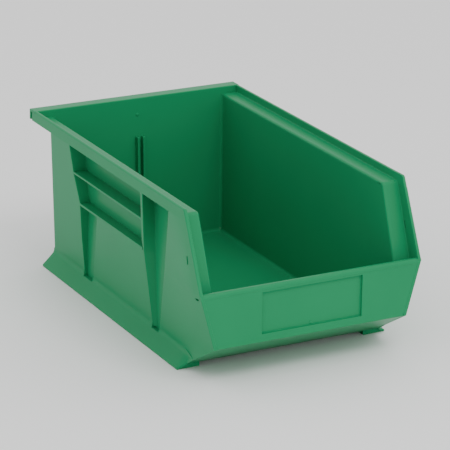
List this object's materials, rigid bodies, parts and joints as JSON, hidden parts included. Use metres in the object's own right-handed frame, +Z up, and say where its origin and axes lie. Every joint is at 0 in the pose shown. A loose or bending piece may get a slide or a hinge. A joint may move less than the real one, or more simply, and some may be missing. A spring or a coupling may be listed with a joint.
{
  "type": "stackable storage bin",
  "caption": "Open hopper-front plastic storage bin with stacking ledges, ribbed side grips, flared feet and a rear hanging lip.",
  "frame": {"origin": "centre of the footprint, on the plane the feet stand on", "axes": "+Z up, hopper front towards -Y, hanging lip towards +Y, +X to the right seen from the front"},
  "size_m": [0.2096, 0.346, 0.1485],
  "materials": {
    "bin_plastic": "semi-gloss moulded polypropylene, green"
  },
  "bodies": {
    "root": {"floor_panel": "bin_plastic", "chin": "bin_plastic", "front_wall": "bin_plastic", "label_panel": "bin_plastic", "front_rim": "bin_plastic", "back_wall": "bin_plastic", "lip_flange": "bin_plastic", "lip_hook": "bin_plastic", "divider_rib_l": "bin_plastic", "divider_rib_r": "bin_plastic", "side_wall_l": "bin_plastic", "side_wall_r": "bin_plastic", "ledge_l": "bin_plastic", "ledge_r": "bin_plastic", "rim_band_l": "bin_plastic", "rim_band_r": "bin_plastic", "front_ledge_l": "bin_plastic", "front_ledge_r": "bin_plastic", "front_flange_l": "bin_plastic", "front_flange_r": "bin_plastic", "front_gusset_l": "bin_plastic", "front_gusset_r": "bin_plastic", "leg_wall_l": "bin_plastic", "leg_wall_r": "bin_plastic", "grip_post_l": "bin_plastic", "grip_post_r": "bin_plastic", "grip_rib_upper_l": "bin_plastic", "grip_rib_upper_r": "bin_plastic", "grip_rib_lower_l": "bin_plastic", "grip_rib_lower_r": "bin_plastic", "mid_panel_l": "bin_plastic", "mid_panel_r": "bin_plastic", "rear_gusset_l": "bin_plastic", "rear_gusset_r": "bin_plastic", "skirt_l": "bin_plastic", "skirt_r": "bin_plastic", "runner_l": "bin_plastic", "runner_r": "bin_plastic"}
  },
  "joints": []
}
